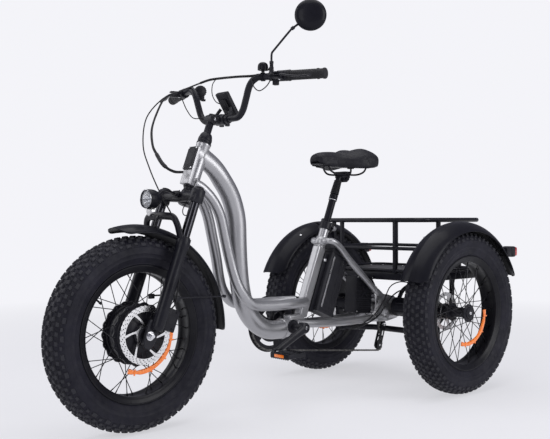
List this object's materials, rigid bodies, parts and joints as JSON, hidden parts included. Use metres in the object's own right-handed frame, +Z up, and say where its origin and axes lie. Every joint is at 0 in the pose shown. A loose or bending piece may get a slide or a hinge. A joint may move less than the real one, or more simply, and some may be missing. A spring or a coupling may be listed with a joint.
{
  "type": "electric adult tricycle",
  "caption": "Electric cargo tricycle with fat tyres, low step-through frame, sprung fork, hub motor in the front wheel and a rear basket between the two back wheels.",
  "frame": {"origin": "on the ground under the middle of the vehicle", "axes": "+X towards the rider's left, -Y towards the front wheel, +Z up"},
  "size_m": [0.8478, 1.8404, 1.351],
  "materials": {
    "silver_paint": "satin metallic silver paint",
    "silver": "brushed steel disc",
    "steel": "plain steel, slightly oily",
    "black_metal": "satin black powder coat",
    "black_plastic": "moulded black plastic",
    "battery": "fine-textured black case",
    "rubber": "matt black rubber",
    "tyre": "black tyre rubber with block tread",
    "rim": "gloss black anodised rim",
    "fender": "gloss black mudguard",
    "grey_panel": "grey coated sheet",
    "saddle": "black grained synthetic leather over foam"
  },
  "bodies": {
    "frame": {"head_tube": "silver_paint", "front_rack_plate": "black_plastic", "down_tube": "silver_paint", "side_tube_left": "silver_paint", "side_tube_right": "silver_paint", "seat_tube": "silver_paint", "seat_stays": "silver_paint", "chain_stay_left": "silver_paint", "chain_stay_right": "silver_paint", "seat_clamp": "black_metal", "battery_rail": "black_plastic", "controller_box": "black_plastic", "rear_subframe": "black_metal", "basket_base": "black_metal", "basket_floor": "grey_panel", "basket_rails": "black_metal", "rear_fender_left": "fender", "rear_fender_right": "fender", "chain": "steel", "derailleur": "black_metal", "rear_cables": "rubber"},
    "steering": {"fork_crown": "black_metal", "stem": "black_metal", "handlebar": "black_metal", "grip_left": "rubber", "grip_right": "rubber", "lever_clamp_left": "black_plastic", "lever_clamp_right": "black_plastic", "display": "black_plastic", "headlight": "black_plastic", "bell": "black_metal", "mirror_clamp": "black_metal", "front_cables": "rubber"},
    "lever_left": {"brake_lever_left": "black_metal"},
    "lever_right": {"brake_lever_right": "black_metal"},
    "mirror_arm": {"mirror_stalk": "black_metal"},
    "mirror": {"mirror_head": "black_plastic"},
    "fork_legs": {"fork_lowers": "black_metal", "front_axle": "steel", "front_caliper": "black_metal", "front_fender": "fender"},
    "front_wheel": {"front_tyre": "tyre", "front_rim": "rim", "front_hub_motor": "black_metal", "front_brake_disc": "silver"},
    "rear_wheel_left": {"rear_tyre_left": "tyre", "rear_rim_left": "rim", "rear_hub_left": "black_metal"},
    "rear_wheel_right": {"rear_tyre_right": "tyre", "rear_rim_right": "rim", "rear_hub_right": "black_metal"},
    "crankset": {"crank_left": "black_metal", "crank_right": "black_metal"},
    "left_pedal": {"pedal_left": "black_plastic"},
    "right_pedal": {"pedal_right": "black_plastic"},
    "sprockets": {"cassette": "steel"},
    "battery_pack": {"battery": "battery"},
    "seat_post": {"seatpost": "black_metal"},
    "seat": {"seat_head": "black_metal", "saddle": "saddle"}
  },
  "joints": [
    {"name": "steering", "type": "hinge", "parent": "frame", "child": "steering", "pos_m": [0, -0.412, 0.752], "axis": [0, 0.3551, 0.9348], "range_deg": [-50, 50]},
    {"name": "fork_travel", "type": "slide", "parent": "steering", "child": "fork_legs", "axis": [0, 0.3551, 0.9348], "range_m": [0, 0.03], "stiffness_N_per_m": 9000, "springref_m": -0.035},
    {"name": "front_wheel_spin", "type": "hinge", "parent": "fork_legs", "child": "front_wheel", "pos_m": [0, -0.628, 0.301], "axis": [1, 0, 0], "continuous": true},
    {"name": "rear_left_spin", "type": "hinge", "parent": "frame", "child": "rear_wheel_left", "pos_m": [0.361, 0.57, 0.301], "axis": [1, 0, 0], "continuous": true},
    {"name": "rear_right_spin", "type": "hinge", "parent": "frame", "child": "rear_wheel_right", "pos_m": [-0.361, 0.57, 0.301], "axis": [1, 0, 0], "continuous": true},
    {"name": "crank_spin", "type": "hinge", "parent": "frame", "child": "crankset", "pos_m": [0, 0.015, 0.268], "axis": [1, 0, 0], "continuous": true},
    {"name": "left_pedal_spin", "type": "hinge", "parent": "crankset", "child": "left_pedal", "pos_m": [0.098, -0.12881, 0.19786], "axis": [1, 0, 0], "continuous": true},
    {"name": "right_pedal_spin", "type": "hinge", "parent": "crankset", "child": "right_pedal", "pos_m": [-0.098, 0.15881, 0.33814], "axis": [1, 0, 0], "continuous": true},
    {"name": "sprocket_spin", "type": "hinge", "parent": "frame", "child": "sprockets", "pos_m": [0, 0.57, 0.301], "axis": [1, 0, 0], "continuous": true},
    {"name": "lever_left_pull", "type": "hinge", "parent": "steering", "child": "lever_left", "pos_m": [0.27203, -0.28534, 1.104], "axis": [0, 0, 1], "range_deg": [0, 14], "stiffness_Nm_per_rad": 0.6, "springref_deg": -28.65},
    {"name": "lever_right_pull", "type": "hinge", "parent": "steering", "child": "lever_right", "pos_m": [-0.27203, -0.28534, 1.104], "axis": [0, 0, -1], "range_deg": [0, 14], "stiffness_Nm_per_rad": 0.6, "springref_deg": -28.65},
    {"name": "mirror_swivel", "type": "hinge", "parent": "steering", "child": "mirror_arm", "pos_m": [0.222, -0.25673, 1.10498], "axis": [0, 0, 1], "range_deg": [-70, 70]},
    {"name": "mirror_turn", "type": "hinge", "parent": "mirror_arm", "child": "mirror", "pos_m": [0.274, -0.206, 1.261], "axis": [0.5455, 0.5831, 0.602], "range_deg": [-40, 40]},
    {"name": "battery_slide", "type": "slide", "parent": "frame", "child": "battery_pack", "axis": [0, 0.3809, 0.9246], "range_m": [0, 0.12]},
    {"name": "seat_height", "type": "slide", "parent": "frame", "child": "seat_post", "axis": [0, 0.3809, 0.9246], "range_m": [-0.07, 0.12]},
    {"name": "seat_suspension", "type": "slide", "parent": "seat_post", "child": "seat", "axis": [0, 0.3809, 0.9246], "range_m": [-0.028, 0], "stiffness_N_per_m": 20000, "springref_m": 0.008}
  ],
  "couplings": [
    {"joint": "sprocket_spin", "follows": "crank_spin", "ratio": 3.2}
  ]
}
